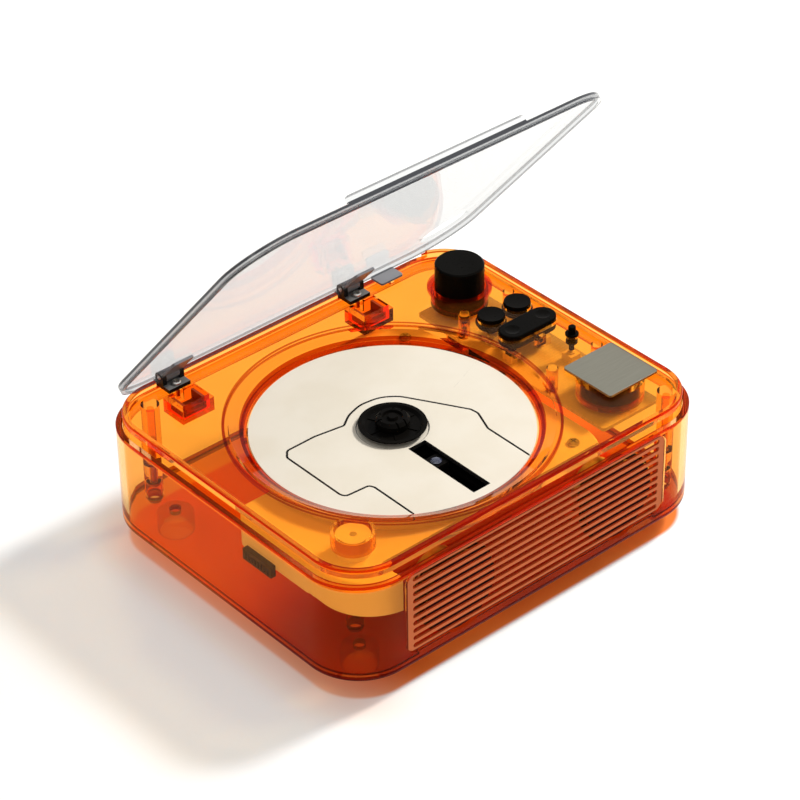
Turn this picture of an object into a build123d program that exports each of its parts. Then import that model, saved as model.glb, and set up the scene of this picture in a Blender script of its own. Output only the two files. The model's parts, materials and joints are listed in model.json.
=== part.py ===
from build123d import *
import os
from math import acos, cos, pi, radians, sin, tan

# Disc player lying on its back: X along the grille face, Y towards the lid's hinge, Z up.
# Origin: middle of the footprint, on the surface that the feet stand on. Millimetres.

# ---- housing ----
well_margin_left = 22.6
well_margin_front = 11.0
well_margin_back = 20.0
control_strip = 42.4
corner_radius = 26.0
foot_height = 9.5
foot_radius = 8.0
foot_inset = 24.0
foot_peg_radius = 2.6
tub_height = 49.0
tub_wall = 2.8
tub_floor = 2.5
tub_edge_radius = 3.0
shell_gap = 0.2
rim_wall = 2.4
rim_height = 6.0
skirt_depth = 4.5
deck_drop = 3.0
deck_thickness = 2.2
keyhole_spacing = 60.0
keyhole_inset = 44.0
keyhole_entry_radius = 4.6
keyhole_slot_radius = 2.2
keyhole_slot_length = 9.0
post_radius = 4.0
post_joint_height = 30.0
right_post_inset = 11.0
right_post_front_inset = 18.0
right_post_back_inset = 17.0
left_post_inset = 23.0
left_post_back_inset = 11.0
housing_screw_radius = 1.5
housing_screw_head_radius = 2.9
housing_screw_head_height = 2.0
housing_screw_head_level = 20.0
housing_screw_length = 22.0
thread_gap = 0.05

# ---- disc well and chassis ----
disc_plate_radius = 60.5
disc_plate_drop = 5.0
disc_plate_thickness = 2.0
plate_gap = 0.7
well_slope = 7.3
well_wall = 1.6
chassis_margin_x = 11.5
chassis_margin_y = 10.0
chassis_corner = 24.0
chassis_shift_x = -5.1
chassis_wall = 2.0
chassis_step = 8.0
chassis_skirt = 14.5
chassis_end_shift_y = 8.5
chassis_end_corner = 5.0
chassis_plate_skirt = 2.0
cover_gap = 0.7
cover_corner = 2.2
cover_arch_radius = 14.0
boss_inset_x = 30.4
boss_inset_y = 34.0
boss_radius = 7.3
boss_rise = 9.0
boss_screw_head_level = 32.5
sleeve_gap = 0.5
sleeve_wall = 1.4
sleeve_depth = 7.0
chassis_screw_inset_x = 56.0
chassis_screw_inset_back = 34.0
chassis_screw_radius = 1.3
connector_length = 18.0
connector_height = 5.5
connector_thickness = 2.6
connector_shift_y = -7.5

# ---- grille and drivers ----
grille_side_margin = 29.0
grille_height = 39.6
grille_corner = 5.0
grille_centre_height = 27.2
grille_clearance = 0.2
grille_recess = 0.4
grille_thickness = 1.0
slot_count = 10
slot_pitch = 3.75
slot_height = 2.3
slot_margin = 3.4
baffle_thickness = 2.0
driver_side_margin = 56.5
driver_shift_x = 2.5
driver_centre_height = 24.0
driver_radius = 20.0
driver_window = 18.6
driver_depth = 15.0
driver_bezel_radius = 18.3
bezel_gap = 0.1
basket_radius = 12.4
magnet_radius = 11.4
scrim_thickness = 0.4

# ---- lid ----
lid_open_angle = 50.0
lid_depth = 3.4
lid_wall = 1.8
lid_edge_radius = 0.8
lid_front_overhang = 1.4
lid_back_setback = 5.4
lid_rest_gap = 0.3
lid_tab_width = 93.0
lid_tab_height = 2.9
lid_tab_thickness = 1.6
lid_tab_corner = 1.4
knob_opening_gap = 1.3
hinge_setback = 5.8
hinge_rise = 1.7
left_hinge_inset = 38.0
right_hinge_inset = 63.4
hinge_width = 11.4
knuckle_width = 7.0
knuckle_radius = 2.6
knuckle_side_gap = 0.1
pin_radius = 1.2
running_gap = 0.05
bracket_base = 1.8
bracket_reach = 6.8
leaf_length = 13.0
leaf_thickness = 1.2
hinge_screw_radius = 1.1
hinge_screw_head_radius = 2.0
pocket_width = 14.0
pocket_length = 10.5
pocket_depth = 7.5
pocket_wall = 1.4
clip_wall = 1.2
stay_inset = 44.4
stay_width = 12.6
stay_length = 8.0
stay_thickness = 1.0
rim_gap_left_inset = 58.0
rim_gap_right_inset = 18.0

# ---- controls ----
knob_inset_x = 22.7
knob_inset_back = 32.8
knob_radius = 11.1
knob_rise = 11.9
knob_gap = 0.7
knob_chamfer = 0.7
knob_foot_gap = 0.3
shaft_radius = 3.0
cup_wall = 1.1
cup_depth = 8.5
button_radius = 6.0
button_rise = 1.9
button_gap = 0.3
button_travel = 1.0
button_dish = 0.5
button_flange = 0.9
left_button_inset = 29.6
right_button_inset = 14.0
button_shift_y = 27.5
rocker_inset = 22.3
rocker_shift_y = 12.1
rocker_length = 30.0
rocker_width = 12.0
rocker_angle = 2.5
rocker_stem_spread = 9.0
plunger_inset = 12.8
plunger_shift_y = -5.9
plunger_radius = 1.7
plunger_rise = 4.4
plunger_travel = 1.0
bushing_radius = 3.0
bushing_rise = 0.8
square_inset_x = 20.6
square_inset_front = 41.8
square_side = 28.8
square_corner = 1.5
square_thickness = 1.1
square_gap = 0.9
square_travel = 0.6
piston_radius = 12.6
piston_gap = 0.3
piston_wall = 1.8
guide_wall = 1.9
guide_depth = 11.5

# ---- boards ----
board_thickness = 1.6
control_board_drop = 12.2
control_board_inset = 22.0
control_board_width = 33.0
control_board_front_inset = 27.0
control_board_back_inset = 22.5
hanger_insets = (35.0, 8.4)
hanger_shifts_y = (-17.0, 39.0)
hanger_radius = 2.6
board_screw_radius = 1.1
switch_side = 6.0
switch_body = 3.5
switch_tip = 0.8
switch_tip_radius = 1.7
stem_radius = 1.9
main_board_rise = 4.0
main_board_length = 113.0
main_board_depth = 42.0
main_board_side_inset = 4.0
main_board_back_inset = 26.0
capacitor_insets = (81.0, 68.0, 55.0)
capacitor_inset_back = 56.0
capacitor_radius = 4.0
capacitor_height = 9.0
power_socket_inset = 36.0
audio_socket_inset = 54.0

# ---- disc drive ----
hub_radius = 14.6
hub_pin_radius = 7.4
disc_rest_rise = 2.4
hub_pin_rise = 3.4
hub_bowl_radius = 12.9
hub_bowl_depth = 1.2
spindle_radius = 1.0
motor_radius = 9.5
motor_height = 10.0
frame_drop = 4.3
frame_thickness = 1.2
frame_margin_x = 15.5
frame_margin_y = 23.5
frame_tray_drop = 8.2
damper_places = [(14.1, 145.2), (20.5, 41.5), (9.5, 218.2), (8.6, -43.1)]
damper_radius = 4.2
damper_post_radius = 2.2
slot_width = 9.0
slot_offset = -0.7
lens_inner = 22.0
lens_park = 6.0
lens_margin = 9.0
rod_radius = 1.25
rod_spacing = 22.0
rack_module = 0.6
pinion_teeth = 14
wheel_module = 0.4
wheel_teeth = 30
motor_teeth = 14
tooth_height = 0.8
root_depth = 1.2
backlash = 0.12
pressure_angle = 20.0
gear_shift_y = -15.5

# ---- derived levels ----
well_radius = disc_plate_radius + plate_gap
lip_radius = well_radius + well_slope
body_width = well_margin_left + 2 * lip_radius + control_strip
body_depth = well_margin_front + 2 * lip_radius + well_margin_back
side_x = body_width / 2
front_y = -body_depth / 2
back_y = body_depth / 2
well_x = lip_radius + well_margin_left - side_x
well_y = front_y + well_margin_front + lip_radius
base = foot_height
lip_top = base + tub_height
rim_inset = tub_wall + shell_gap
rim_top = lip_top + rim_height
rim_width = body_width - 2 * rim_inset
rim_depth = body_depth - 2 * rim_inset
rim_radius = corner_radius - rim_inset
deck_top = rim_top - deck_drop
deck_bottom = deck_top - deck_thickness
skirt_bottom = lip_top - skirt_depth
floor_top = base + tub_floor
plate_top = deck_top - disc_plate_drop
plate_bottom = plate_top - disc_plate_thickness
flange_top = plate_top - chassis_step
flange_bottom = flange_top - chassis_wall
chassis_low = flange_bottom - chassis_skirt
chassis_width = 2 * (disc_plate_radius + chassis_margin_x)
chassis_depth = 2 * (disc_plate_radius + chassis_margin_y)
chassis_x = well_x + chassis_shift_x
chassis_left = chassis_x - chassis_width / 2
chassis_end_y = well_y + chassis_end_shift_y
board_top = deck_top - control_board_drop - board_thickness
board_low = board_top - board_thickness
switch_top = board_top + switch_body + switch_tip
main_low = floor_top + main_board_rise
main_top = main_low + board_thickness
grille_z = base + grille_centre_height
driver_z = base + driver_centre_height
wall_in_x = body_width / 2 - tub_wall
wall_in_y = body_depth / 2 - tub_wall
baffle_y = -wall_in_y + baffle_thickness
driver_bezel_height = (
    tub_wall + baffle_thickness - grille_recess - grille_thickness - scrim_thickness - bezel_gap
)
hinge_y = body_depth / 2 - hinge_setback
hinge_z = rim_top + hinge_rise
lid_low = rim_top + lid_rest_gap
lid_top = lid_low + lid_depth
lid_inner = lid_top - lid_wall
lid_front = -rim_depth / 2 - lid_front_overhang
lid_back = body_depth / 2 - lid_back_setback
button_top = deck_top + button_rise
flange_level = deck_bottom - button_gap
frame_top = plate_bottom - frame_drop
frame_low = frame_top - frame_thickness
slot_x = well_x + slot_offset
lens_travel = disc_plate_radius - lens_inner - lens_margin
lens_y = well_y - lens_inner - lens_park
gear_y = well_y + gear_shift_y
rod_z = frame_low - 3.8
disc_rest = plate_top + disc_rest_rise
grille_width = body_width - 2 * grille_side_margin
driver_spacing = body_width - 2 * driver_side_margin
keyhole_y = back_y - keyhole_inset
hinge_positions = [left_hinge_inset - side_x, side_x - right_hinge_inset]
stay_x = side_x - stay_inset
rim_gap_left = side_x - rim_gap_left_inset
rim_gap_right = side_x - rim_gap_right_inset
boss_x = boss_inset_x - side_x
boss_y = front_y + boss_inset_y
connector_y = well_y + connector_shift_y
knob_x = side_x - knob_inset_x
knob_y = back_y - knob_inset_back
rocker_x = side_x - rocker_inset
rocker_y = well_y + rocker_shift_y
plunger_x = side_x - plunger_inset
plunger_y = well_y + plunger_shift_y
square_x = side_x - square_inset_x
square_y = front_y + square_inset_front
control_board_x = side_x - control_board_inset
power_socket_y = back_y - power_socket_inset
audio_socket_y = back_y - audio_socket_inset
button_positions = [
    (side_x - left_button_inset, well_y + button_shift_y),
    (side_x - right_button_inset, well_y + button_shift_y),
]
hanger_positions = [(side_x - inset, well_y + shift) for shift in hanger_shifts_y for inset in hanger_insets]
capacitor_positions = [(side_x - inset, back_y - capacitor_inset_back) for inset in capacitor_insets]
post_positions = [
    (side_x - right_post_inset, front_y + right_post_front_inset),
    (side_x - right_post_inset, back_y - right_post_back_inset),
    (left_post_inset - side_x, back_y - left_post_back_inset),
]
chassis_screw_positions = [
    (side_x - chassis_screw_inset_x, back_y - chassis_screw_inset_back),
    (side_x - chassis_screw_inset_x, baffle_y + driver_depth + post_radius + 3.7),
]
damper_positions = [
    (
        well_x + (disc_plate_radius - inset) * cos(radians(angle)),
        well_y + (disc_plate_radius - inset) * sin(radians(angle)),
    )
    for inset, angle in damper_places
]

# Outline of the floating cover round the disc drive, measured from the well's centre.
cover_corners = [
    (-32.5, -66.0), (-32.5, -26.4), (-33.7, -23.7), (-45.3, -22.8), (-46.1, -20.5),
    (-46.1, 13.0), (-43.2, 16.4), (-28.6, 16.4), (-14.3, 14.1),
]
cover_arch = [(-8.1, 18.4), (0.2, 20.9), (9.8, 19.6), (16.3, 14.9)]
cover_far_corners = [(25.7, -1.0), (32.5, -12.7), (32.9, -16.5), (28.6, -27.3), (28.6, -66.0)]


def slab(width, depth, radius, low, high, x=0.0, y=0.0):
    return Pos(x, y, low) * extrude(RectangleRounded(width, depth, radius), high - low)


def post(radius, low, high, x=0.0, y=0.0):
    return Pos(x, y, (low + high) / 2) * Cylinder(radius, high - low)


def tube(outer, inner, low, high, x=0.0, y=0.0):
    return post(outer, low, high, x, y) - post(inner, low - 1, high + 1, x, y)


def block(x0, x1, y0, y1, z0, z1):
    return Pos((x0 + x1) / 2, (y0 + y1) / 2, (z0 + z1) / 2) * Box(x1 - x0, y1 - y0, z1 - z0)


def bar_x(radius, x0, x1, y, z):
    return Pos((x0 + x1) / 2, y, z) * Rot(0, 90, 0) * Cylinder(radius, x1 - x0)


def bar_y(radius, x, y0, y1, z):
    return Pos(x, (y0 + y1) / 2, z) * Rot(90, 0, 0) * Cylinder(radius, y1 - y0)


def turned(points, x=0.0, y=0.0, z=0.0):
    """A solid of revolution about Z from a closed list of (radius, height) points."""
    return Pos(x, y, z) * revolve(make_face(Plane.XZ * Polyline(*points, close=True)), Axis.Z)


def prism(points, low, high):
    return Pos(0, 0, low) * extrude(make_face(Polyline(*points, close=True)), high - low)


def pan_screw(head_radius, head_height, shank_radius, length, x, y, seat, up=1):
    """A screw whose head's underside lies on the level `seat`; up = 1 has the head on top."""
    head = post(head_radius, 0, head_height)
    head = chamfer(head.faces().sort_by(Axis.Z)[-1].edges(), head_height * 0.35)
    head -= block(-head_radius * 0.65, head_radius * 0.65, -0.25, 0.25, head_height * 0.5, head_height + 1)
    head -= block(-0.25, 0.25, -head_radius * 0.65, head_radius * 0.65, head_height * 0.5, head_height + 1)
    body = head + post(shank_radius, -length, 0.0)
    if up < 0:
        body = Rot(180, 0, 0) * body
    return Pos(x, y, seat) * body


def involute(angle):
    return tan(angle) - angle


def gear_points(module, teeth, phase):
    """Outline of a spur gear, its first tooth centred on the direction `phase` in degrees."""
    pitch = module * teeth / 2
    alpha = radians(pressure_angle)
    base_circle = pitch * cos(alpha)
    tip = pitch + tooth_height * module
    root = pitch - root_depth * module
    half = (pi * module / 2 - backlash / 2) / (2 * pitch)
    flank = []
    for step in range(4):
        radius = max(base_circle, root) + (tip - max(base_circle, root)) * step / 3
        there = acos(min(1.0, base_circle / radius))
        flank.append((radius, half + involute(alpha) - involute(there)))
    if root < base_circle:
        flank.insert(0, (root, flank[0][1]))
    points = []
    for tooth in range(teeth):
        middle = radians(phase) + 2 * pi * tooth / teeth
        for radius, angle in flank:
            points.append((radius * cos(middle - angle), radius * sin(middle - angle)))
        for radius, angle in reversed(flank):
            points.append((radius * cos(middle + angle), radius * sin(middle + angle)))
    return points


def gear(module, teeth, phase, low, high):
    return prism(gear_points(module, teeth, phase), low, high)


def make_lower_tub():
    inner_radius = corner_radius - tub_wall
    tub = slab(body_width, body_depth, corner_radius, base, lip_top)
    tub = fillet(tub.faces().sort_by(Axis.Z)[0].edges(), min(tub_edge_radius, tub_wall + 0.5))
    tub -= slab(body_width - 2 * tub_wall, body_depth - 2 * tub_wall, inner_radius, floor_top, lip_top + 1)
    edge = tub.faces().sort_by(Axis.Z)[-1].edges()
    tub = chamfer(edge, 0.4)
    half_width = driver_spacing / 2 + driver_radius + 2
    tub += block(
        driver_shift_x - half_width, driver_shift_x + half_width,
        -wall_in_y - 0.5, baffle_y, floor_top - 0.5, skirt_bottom - 0.5,
    )
    recess_depth = grille_recess + grille_thickness
    panel = RectangleRounded(
        grille_width + 2 * grille_clearance, grille_height + 2 * grille_clearance,
        grille_corner + grille_clearance,
    )
    front = -body_depth / 2
    tub -= Pos(0, front + recess_depth, grille_z) * Rot(90, 0, 0) * extrude(panel, recess_depth + 5)
    for side in (-1, 1):
        x = driver_shift_x + side * driver_spacing / 2
        tub -= bar_y(driver_window, x, front - 1, baffle_y + 1, driver_z)
    for x, y in post_positions:
        tub += post(post_radius, floor_top - 0.5, post_joint_height, x, y)
        tub -= post(housing_screw_radius + 0.2, base - 1, post_joint_height + 1, x, y)
        tub -= post(housing_screw_head_radius + 0.2, base - 1, housing_screw_head_level, x, y)
    for x, y in chassis_screw_positions + [(boss_x, boss_y)]:
        tub += post(post_radius, floor_top - 0.5, flange_bottom, x, y)
    for x, y in chassis_screw_positions:
        tub -= post(chassis_screw_radius + thread_gap, flange_bottom - 12, flange_bottom + 1, x, y)
    tub -= post(housing_screw_radius + 0.2, base - 1, flange_bottom + 1, boss_x, boss_y)
    tub -= post(housing_screw_head_radius + 0.2, base - 1, boss_screw_head_level, boss_x, boss_y)
    for x, y in standoff_positions():
        tub += post(3.0, floor_top - 0.5, main_low, x, y)
        tub -= post(board_screw_radius + thread_gap, floor_top + 0.4, main_low + 1, x, y)
    for x, y in foot_positions():
        tub -= post(foot_peg_radius, base - 1, floor_top + 1, x, y)
    for side in (-1, 1):
        x = side * keyhole_spacing / 2
        tub -= post(keyhole_entry_radius, base - 1, floor_top + 1, x, keyhole_y)
        tub -= post(keyhole_slot_radius, base - 1, floor_top + 1, x, keyhole_y + keyhole_slot_length)
        tub -= block(
            x - keyhole_slot_radius, x + keyhole_slot_radius,
            keyhole_y, keyhole_y + keyhole_slot_length, base - 1, floor_top + 1,
        )
    tub -= bar_x(4.4, wall_in_x - 1, body_width / 2 + 1, power_socket_y, main_top + 5.5)
    tub -= bar_x(3.2, wall_in_x - 1, body_width / 2 + 1, audio_socket_y, main_top + 3.2)
    return tub


def foot_positions():
    x = body_width / 2 - foot_inset
    y = body_depth / 2 - foot_inset
    return [(-x, -y), (x, -y), (x, y), (-x, y)]


def standoff_positions():
    x0, x1, y0, y1 = main_board_edges()
    return [(x0 + 5, y0 + 5), (x1 - 16, y0 + 5), (x1 - 16, y1 - 4), (x0 + 5, y1 - 5)]


def make_upper_deck():
    inner_width = rim_width - 2 * rim_wall
    inner_depth = rim_depth - 2 * rim_wall
    inner_radius = rim_radius - rim_wall
    shell = slab(rim_width, rim_depth, rim_radius, skirt_bottom, rim_top)
    shell = fillet(shell.faces().sort_by(Axis.Z)[-1].edges(), rim_wall * 0.35)
    shell -= slab(inner_width, inner_depth, inner_radius, deck_top, rim_top + 1)
    shell -= slab(inner_width, inner_depth, inner_radius, skirt_bottom - 1, deck_bottom)
    lip = deck_thickness + 0.4
    shell -= post(lip_radius + 1, skirt_bottom, rim_top, well_x, well_y)
    shell += turned(
        [
            (well_radius, plate_top - 1.0),
            (well_radius, plate_top + 0.7),
            (lip_radius, deck_top),
            (lip_radius + 2.5, deck_top),
            (lip_radius + 2.5, deck_bottom),
            (lip_radius + 0.3, deck_bottom),
            (well_radius + well_wall, plate_top + 0.7 - lip * 0.6),
            (well_radius + well_wall, plate_top - 1.0),
        ],
        well_x, well_y,
    )
    # Screw posts, board hangers and the sleeve round the chassis boss.
    for x, y in post_positions:
        shell += post(post_radius, post_joint_height, deck_bottom + 0.5, x, y)
        shell -= post(housing_screw_radius + thread_gap, post_joint_height - 1, deck_bottom - 3, x, y)
    for x, y in hanger_positions:
        shell += post(hanger_radius, board_top, deck_bottom + 0.5, x, y)
        shell -= post(board_screw_radius + thread_gap, board_top - 1, board_top + 7, x, y)
    sleeve_inner = boss_radius + sleeve_gap
    sleeve_low = deck_bottom - sleeve_depth
    shell += tube(sleeve_inner + sleeve_wall, sleeve_inner, sleeve_low, deck_bottom + 0.5, boss_x, boss_y)
    # Cup of the volume knob.
    cup_inner = knob_radius + knob_gap
    cup_floor = deck_top - cup_depth
    shell += post(cup_inner + cup_wall, cup_floor - cup_wall, deck_bottom + 0.5, knob_x, knob_y)
    shell -= post(cup_inner, cup_floor, deck_top + 1, knob_x, knob_y)
    shell -= post(shaft_radius + 1.0, cup_floor - cup_wall - 1, cup_floor + 1, knob_x, knob_y)
    # Button openings.
    for x, y in button_positions:
        shell -= post(button_radius + button_gap, deck_bottom - 1, deck_top + 1, x, y)
    opening = SlotOverall(rocker_length + 2 * button_gap, rocker_width + 2 * button_gap)
    shell -= Pos(rocker_x, rocker_y, deck_bottom - 1) * extrude(opening, deck_thickness + 2)
    for side in (-1, 1):
        y0 = rocker_y + side * (rocker_width / 2 + 1.2)
        y1 = y0 + side * 2.0
        shell += block(
            rocker_x - 2.6, rocker_x + 2.6, min(y0, y1), max(y0, y1), flange_level - 4.2, deck_bottom + 0.5
        )
        shell -= bar_y(1.0 + running_gap, rocker_x, min(y0, y1) - 0.5, max(y0, y1) + 0.5, rocker_pivot())
    shell -= post(bushing_radius - 0.6, deck_bottom - 1, deck_top + 1, plunger_x, plunger_y)
    guide_inner = piston_radius + piston_gap
    shell += post(guide_inner + guide_wall, deck_top - guide_depth, deck_bottom + 0.5, square_x, square_y)
    shell -= post(guide_inner, deck_top - guide_depth + 1.2, deck_top + 1, square_x, square_y)
    shell -= post(switch_side * 0.75, deck_top - guide_depth - 1, deck_top, square_x, square_y)
    # Hinge pockets, screw bosses and the gaps that the hinges need in the rim.
    half = pocket_width / 2
    rim_back = rim_depth / 2
    for x in hinge_positions:
        y1 = hinge_y - bracket_reach - 0.4
        y0 = y1 - pocket_length
        low = deck_top - pocket_depth
        shell += block(
            x - half - pocket_wall, x + half + pocket_wall, y0 - pocket_wall, y1 + pocket_wall,
            low - pocket_wall, deck_top - 0.5,
        )
        shell -= block(x - half, x + half, y0, y1, low, deck_top + 1)
        shell -= block(x - half, x + half, rim_back - rim_wall - 0.5, rim_back + 1, deck_top, rim_top + 1)
        shell += post(2.8, deck_bottom - 5.0, deck_bottom + 0.5, x, hinge_screw_y())
        shell -= post(hinge_screw_radius + thread_gap, deck_bottom - 3.5, deck_top + 1, x, hinge_screw_y())
    shell -= block(
        rim_gap_left, rim_gap_right, rim_back - rim_wall - 0.5, rim_back + 1, deck_top, rim_top + 1
    )
    fin_top = stay_top() - stay_thickness
    shell += block(stay_x - 0.9, stay_x + 0.9, hinge_y - 6.6, hinge_y + 1.0, deck_top - 0.5, fin_top)
    shell += block(stay_x - 4.0, stay_x + 4.0, hinge_y - 1.0, hinge_y + 1.0, deck_top - 0.5, fin_top)
    return shell


def rocker_pivot():
    return flange_level - 1.6


def stay_top():
    return lid_low - 0.4


def make_speaker_grille():
    front = -body_depth / 2 + grille_recess
    panel = extrude(RectangleRounded(grille_width, grille_height, grille_corner), grille_thickness)
    panel = chamfer(panel.faces().sort_by(Axis.Z)[-1].edges(), 0.25)
    for row in range(slot_count):
        y = (row - (slot_count - 1) / 2) * slot_pitch
        bar = SlotOverall(grille_width - 2 * slot_margin, slot_height)
        panel -= Pos(0, y, -1) * extrude(bar, grille_thickness + 2)
    return Pos(0, front + grille_thickness, grille_z) * Rot(90, 0, 0) * panel


def both_drivers(piece):
    placed = []
    for side in (-1, 1):
        x = driver_shift_x + side * driver_spacing / 2
        placed.append(Pos(x, baffle_y, driver_z) * Rot(-90, 0, 0) * piece)
    return Compound(children=placed)


def make_driver_frames():
    ring = turned(
        [
            (17.2, -driver_bezel_height), (driver_bezel_radius, -driver_bezel_height),
            (driver_bezel_radius, 0.0),
            (driver_radius, 0.0), (driver_radius, 1.2), (17.8, 1.6), (basket_radius, 8.8),
            (basket_radius, driver_depth - 5.0), (5.0, driver_depth - 5.0), (5.0, 8.8),
            (basket_radius - 1.2, 8.8), (16.4, 1.8), (17.2, 0.0),
        ]
    )
    for turn in range(6):
        ring -= Rot(0, 0, turn * 60) * block(9.0, 21.0, -2.6, 2.6, 3.6, 8.0)
    return both_drivers(ring)


def make_driver_cones():
    cone = turned(
        [
            (0.0, 4.6), (2.6, 4.9), (4.6, 6.2), (12.6, 1.9), (14.2, 0.6), (15.8, 0.6), (16.93, 0.6),
            (16.6, 1.35), (14.6, 1.35), (13.0, 2.7), (4.7, 7.2), (4.7, 8.6), (0.0, 8.6),
        ]
    )
    return both_drivers(cone)


def make_driver_magnets():
    magnet = turned(
        [
            (0.0, driver_depth - 5.0), (magnet_radius - 0.4, driver_depth - 5.0),
            (magnet_radius, driver_depth - 4.6), (magnet_radius, driver_depth - 0.4),
            (magnet_radius - 0.4, driver_depth), (0.0, driver_depth),
        ]
    )
    return both_drivers(magnet)


def make_driver_scrims():
    front = -driver_bezel_height - scrim_thickness
    return both_drivers(post(driver_bezel_radius, front, front + scrim_thickness))


def cover_prism(grow, low, high):
    """The cover's outline, grown by `grow` all round, over the given height."""
    face = make_face(Polyline(*cover_corners, *cover_arch, *cover_far_corners, close=True))
    rounded = fillet(face.vertices().filter_by(on_arch), cover_arch_radius)
    rounded = fillet(rounded.vertices().filter_by(on_corner), cover_corner)
    if grow > 0:
        rounded = offset(rounded, grow)
    return Pos(well_x, well_y, low) * extrude(rounded, high - low)


def on_arch(vertex):
    return any(abs(vertex.X - x) < 0.01 and abs(vertex.Y - y) < 0.01 for x, y in cover_arch)


def on_corner(vertex):
    corners = cover_corners[1:] + cover_far_corners[:-1]
    return any(abs(vertex.X - x) < 0.01 and abs(vertex.Y - y) < 0.01 for x, y in corners)


def chassis_outline(shrink, low, high):
    """The chassis' outline drawn in by `shrink`; its quarter behind on the left is left open."""
    width = chassis_width - 2 * shrink
    depth = chassis_depth - 2 * shrink
    body = slab(width, depth, chassis_corner - shrink, low, high, chassis_x, well_y)
    left = chassis_left + shrink
    end = chassis_end_y - shrink
    body -= block(left - 1, well_x + shrink, end, well_y + chassis_depth, low - 1, high + 1)
    corner = [
        edge for edge in body.edges().filter_by(Axis.Z)
        if abs(edge.center().X - left) < 0.01 and abs(edge.center().Y - end) < 0.01
    ]
    return fillet(corner, chassis_end_corner - shrink)


def make_deck_chassis():
    outer = chassis_outline(0, chassis_low, flange_top)
    outer = fillet(outer.faces().sort_by(Axis.Z)[-1].edges(), chassis_wall * 0.7)
    outer -= chassis_outline(chassis_wall, chassis_low - 1, flange_bottom)
    inner_radius = disc_plate_radius - chassis_wall
    front_edge = baffle_y + driver_depth + 1.5
    half = driver_spacing / 2 + driver_radius + 4.5
    outer -= block(
        driver_shift_x - half, driver_shift_x + half, front_y - 6.0, front_edge,
        chassis_low - 1, flange_top + 1,
    )
    outer -= post(inner_radius, chassis_low, plate_bottom, well_x, well_y)
    outer += tube(disc_plate_radius, inner_radius, flange_bottom, plate_bottom + 0.5, well_x, well_y)
    outer -= block(
        chassis_left - 1, well_x, chassis_end_y, well_y + chassis_depth,
        chassis_low - 1, plate_bottom - chassis_plate_skirt,
    )
    outer += post(disc_plate_radius, plate_bottom, plate_top, well_x, well_y)
    outer -= cover_prism(cover_gap, plate_bottom - 0.6, plate_top + 1)
    outer += post(boss_radius, flange_bottom, flange_top + boss_rise, boss_x, boss_y)
    boss_hole = housing_screw_radius + thread_gap
    outer -= post(boss_hole, flange_bottom - 1, flange_top + boss_rise + 1, boss_x, boss_y)
    for x, y in chassis_screw_positions:
        outer -= post(chassis_screw_radius + 0.2, flange_bottom - 1, flange_top + 1, x, y)
    for x, y in damper_positions:
        outer += post(damper_radius, frame_top + 1.8, plate_bottom + 0.5, x, y)
        outer += post(damper_post_radius, frame_low - 2.0, plate_bottom + 0.5, x, y)
        outer -= post(1.0 + thread_gap, frame_low - 3.0, frame_low + 4.0, x, y)
    return outer


def make_mechanism_cover():
    cover = cover_prism(0, plate_bottom, plate_top)
    cover &= post(disc_plate_radius, plate_bottom - 1, plate_top + 1, well_x, well_y)
    for x, y in ((-38.1, 4.5), (-25.1, -35.5), (22.4, -29.5), (21.4, 0.5)):
        cover += post(2.4, frame_top, plate_bottom + 0.5, well_x + x, well_y + y)
    cover -= post(6.5, plate_bottom - 1, plate_top + 1, well_x, well_y)
    cover -= tube(hub_radius + 0.8, 6.4, plate_top - 0.6, plate_top + 1, well_x, well_y)
    y0 = well_y - lens_inner - lens_travel - 4.5
    y1 = well_y - hub_radius - 1.4
    cover -= block(slot_x - slot_width / 2, slot_x + slot_width / 2, y0, y1, plate_bottom - 1, plate_top + 1)
    return cover


def make_traverse_frame():
    width = 2 * (disc_plate_radius - frame_margin_x)
    depth = 2 * (disc_plate_radius - frame_margin_y)
    frame = slab(width, depth, 6.0, frame_low, frame_top, well_x - 1.1, well_y - 4.5)
    arm_front = rod_front() - 0.9
    arm_back = well_y - lens_inner
    arm_middle = (arm_front + arm_back) / 2
    frame += slab(rod_spacing + 7.0, arm_back - arm_front, 2.0, frame_low, frame_top, slot_x, arm_middle)
    frame &= post(disc_plate_radius - chassis_wall - 0.8, frame_low - 1, frame_top + 1, well_x, well_y)
    slot_end = well_y - lens_inner + 4.5
    frame -= block(slot_x - 5.2, slot_x + 5.2, rod_front() - 11.0, slot_end, frame_low - 1, frame_top + 1)
    frame -= post(3.2, frame_low - 1, frame_top + 1, well_x, well_y)
    for x, y in damper_positions:
        frame -= post(3.2, frame_low - 1, frame_top + 1, x, y)
    # Feet of the two guide rods, joined underneath by a tray that closes the drive from below.
    tray_low = frame_low - frame_tray_drop
    half = rod_spacing / 2 + 2.4
    frame += block(slot_x - half, slot_x + half, rod_front(), rod_back() - 1.5, tray_low, tray_low + 1.2)
    for side in (-1, 1):
        x = slot_x + side * rod_spacing / 2
        for y0 in (rod_front(), rod_back() - 3.0):
            frame += block(x - 2.4, x + 2.4, y0, y0 + 3.0, tray_low, frame_low + 0.5)
        frame -= bar_y(rod_radius, x, rod_front() + 0.8, rod_back() - 0.8, rod_z)
    # Axle of the sled gear, and the plate that carries the sled motor.
    frame += post(1.0, frame_low - 6.6, frame_low + 0.5, gear_x(), gear_y)
    plate_low = frame_low - 8.0
    frame += block(gear_x() - 2.4, motor_x() + 6.4, gear_y - 5.6, gear_y + 9.0, plate_low, plate_low + 1.2)
    frame += block(motor_x() - 5.6, motor_x() + 6.4, gear_y + 7.8, gear_y + 9.0, plate_low, frame_low + 0.5)
    frame -= post(motor_pitch() + 0.9, plate_low - 1, plate_low + 2, motor_x(), gear_y)
    return frame


def rod_front():
    return well_y - lens_inner - lens_travel - 3.4


def rod_back():
    return well_y - lens_inner + 13.4


def gear_pitch():
    return rack_module * pinion_teeth / 2


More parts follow.
